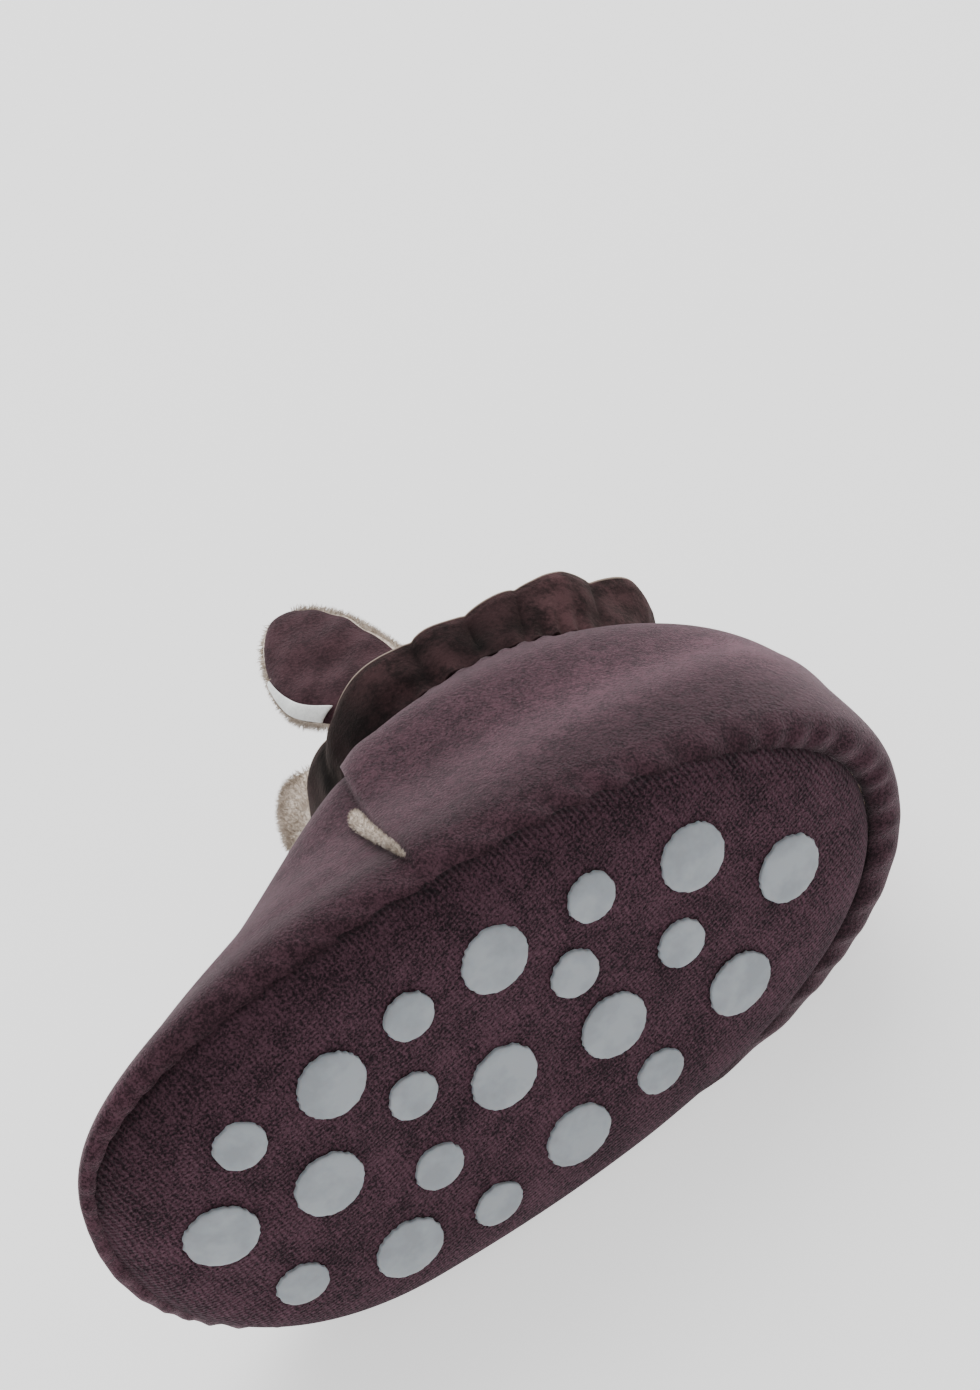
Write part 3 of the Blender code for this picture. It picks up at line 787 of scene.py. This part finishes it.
def makePile(name, roots, directions, look, material, seed):
    # one mesh of small tapered blades, three corners each at the foot and a bent tip
    chance = np.random.default_rng(seed)
    count = len(roots)
    lean = chance.normal(size=(count, 3)) * look["scatter"]
    way = directions + lean
    way /= np.linalg.norm(way, axis=1, keepdims=True)
    side = np.cross(way, chance.normal(size=(count, 3)))
    side /= np.linalg.norm(side, axis=1, keepdims=True)
    bend = np.cross(way, side) * look["bend"] * chance.uniform(-1.0, 1.0, (count, 1))
    length = look["length"] * chance.uniform(0.55, 1.0, (count, 1))
    width = look["width"] * chance.uniform(0.7, 1.2, (count, 1))
    middle = roots + way * length * 0.55 + bend * length * 0.3
    tip = roots + way * length + bend * length
    corners = np.stack([
        roots - way * 0.25 - side * width, roots - way * 0.25 + side * width,
        middle - side * width * 0.7, middle + side * width * 0.7, tip,
    ], axis=1).reshape(-1, 3)
    faces = []
    for i in range(0, count * 5, 5):
        faces += [(i, i + 1, i + 3, i + 2), (i + 2, i + 3, i + 4)]
    data = bpy.data.meshes.new(name)
    data.from_pydata(toWorld(corners).tolist(), [], faces)
    data.materials.append(material)
    piece = bpy.data.objects.new(name, data)
    bpy.context.scene.collection.objects.link(piece)
    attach(piece, "root")


earPile = {
    "count": 9000, "length": 1.25, "width": 0.055, "scatter": 0.55, "bend": 0.5,
    "rimShare": 0.6, "backShare": 0.65,
}
edgePile = {"count": 2600, "length": 0.55, "width": 0.05, "scatter": 0.6, "bend": 0.5}


def earRoots(outer, count, seed):
    # more of them round the rim than on the inside face
    chance = np.random.default_rng(seed)
    rim = chance.random(count) < earPile["rimShare"]
    back, front = chance.uniform(-0.07, 0.07, count), chance.uniform(0.49, 0.57, count)
    edges = np.where(chance.random(count) < earPile["backShare"], back, front)
    turns = np.where(rim, edges, chance.uniform(0.55, 0.95, count))
    heights = 62.0 + 23.9 * chance.random(count) ** 0.85
    here = earPoints(heights, turns * 2.0 * np.pi, outer, 0.0)
    out = earPoints(heights, turns * 2.0 * np.pi, outer, 0.6) - here
    out[:, 2] += 0.35 * smoothStep(heights, 78.0, 86.0)
    return here, out / np.linalg.norm(out, axis=1, keepdims=True)


for name, outer, seed in (("earInnerPile", False, 31), ("earOuterPile", True, 32)):
    roots, out = earRoots(outer, earPile["count"], seed)
    makePile(name, roots, out, earPile, plush, seed)


def edgeRoots(count, seed):
    chance = np.random.default_rng(seed)
    u, v = chance.random(count), chance.random(count)
    points, _ = placeEdge(u, v)
    levels, width = edgeSpots(v)
    x = seamX(levels) - shoe["gap"] - width * 0.5
    core = overVamp(levels, x, np.full(count, shoe["gap"] + edge["height"] * 0.3))
    out = points - core
    return points, out / np.maximum(np.linalg.norm(out, axis=1, keepdims=True), 1e-6)


roots, out = edgeRoots(edgePile["count"], 41)
makePile("edgePile", roots, out, edgePile, plush, 41)
print("pile made")


# Floor, light and camera

floorLook = {"base": "#c4c4c4", "glow": "#ffffff", "glowStrength": 1.0, "size": 6.0, "drop": 0.0002}
skyStrength = 0.55


def makeFloor():
    bm = bmesh.new()
    bmesh.ops.create_grid(bm, x_segments=1, y_segments=1, size=floorLook["size"])
    data = bpy.data.meshes.new("floor")
    bm.to_mesh(data)
    bm.free()
    # a sheet of white paper lit from beneath, which keeps the shadow on it faint
    paper, _, _ = newMaterial("paleFloor", 0.9, {
        "Specular IOR Level": 0.1, "Emission Strength": floorLook["glowStrength"],
        "Emission Color": linear(floorLook["glow"]), "Base Color": linear(floorLook["base"]),
    })
    data.materials.append(paper)
    floor = bpy.data.objects.new("floor", data)
    bpy.context.scene.collection.objects.link(floor)
    floor.location = (0.0, 0.0, -floorLook["drop"])


lightColumns = ("name", "place", "size", "power")
lights = (
    ("keyLight", (0.35, 0.75, 1.0), 1.3, 30.0),
    ("fillLight", (-0.8, -1.0, 0.8), 1.3, 5.0),
)


def makeLights():
    for row in lights:
        light = dict(zip(lightColumns, row))
        data = bpy.data.lights.new(light["name"], "AREA")
        data.size = light["size"]
        data.energy = light["power"]
        lamp = bpy.data.objects.new(light["name"], data)
        lamp.location = light["place"]
        lamp.rotation_euler = (-Vector(light["place"])).to_track_quat("-Z", "Y").to_euler()
        bpy.context.scene.collection.objects.link(lamp)
    world = bpy.data.worlds.new("studio")
    world.use_nodes = True
    sky = world.node_tree.nodes["Background"]
    sky.inputs["Color"].default_value = (1.0, 1.0, 1.0, 1.0)
    sky.inputs["Strength"].default_value = skyStrength
    bpy.context.scene.world = world


cameraLook = {
    "right": (0.83787, 0.21903, -0.5), "down": (-0.47124, 0.75255, -0.46), "ahead": (0.27552, 0.62104, 0.73376),
    "place": (-243.75, -771.27, -846.69), "lens": 231.54, "sensor": 36.0, "far": 20.0,
}


def makeCamera():
    data = bpy.data.cameras.new("camera")
    data.sensor_fit = "VERTICAL"
    data.sensor_height = cameraLook["sensor"]
    data.lens = cameraLook["lens"]
    data.clip_end = cameraLook["far"]
    camera = bpy.data.objects.new("camera", data)
    bpy.context.scene.collection.objects.link(camera)
    turn = shoeAxes()
    right, down, ahead = (turn @ np.array(cameraLook[way]) for way in ("right", "down", "ahead"))
    spot = toWorld(np.array([cameraLook["place"]]))[0]
    place = Matrix.Identity(4)
    for column, axis in enumerate((right, -down, -ahead, spot)):
        for row in range(3):
            place[row][column] = axis[row]
    camera.matrix_world = place
    bpy.context.scene.camera = camera


makeFloor()
makeLights()
makeCamera()
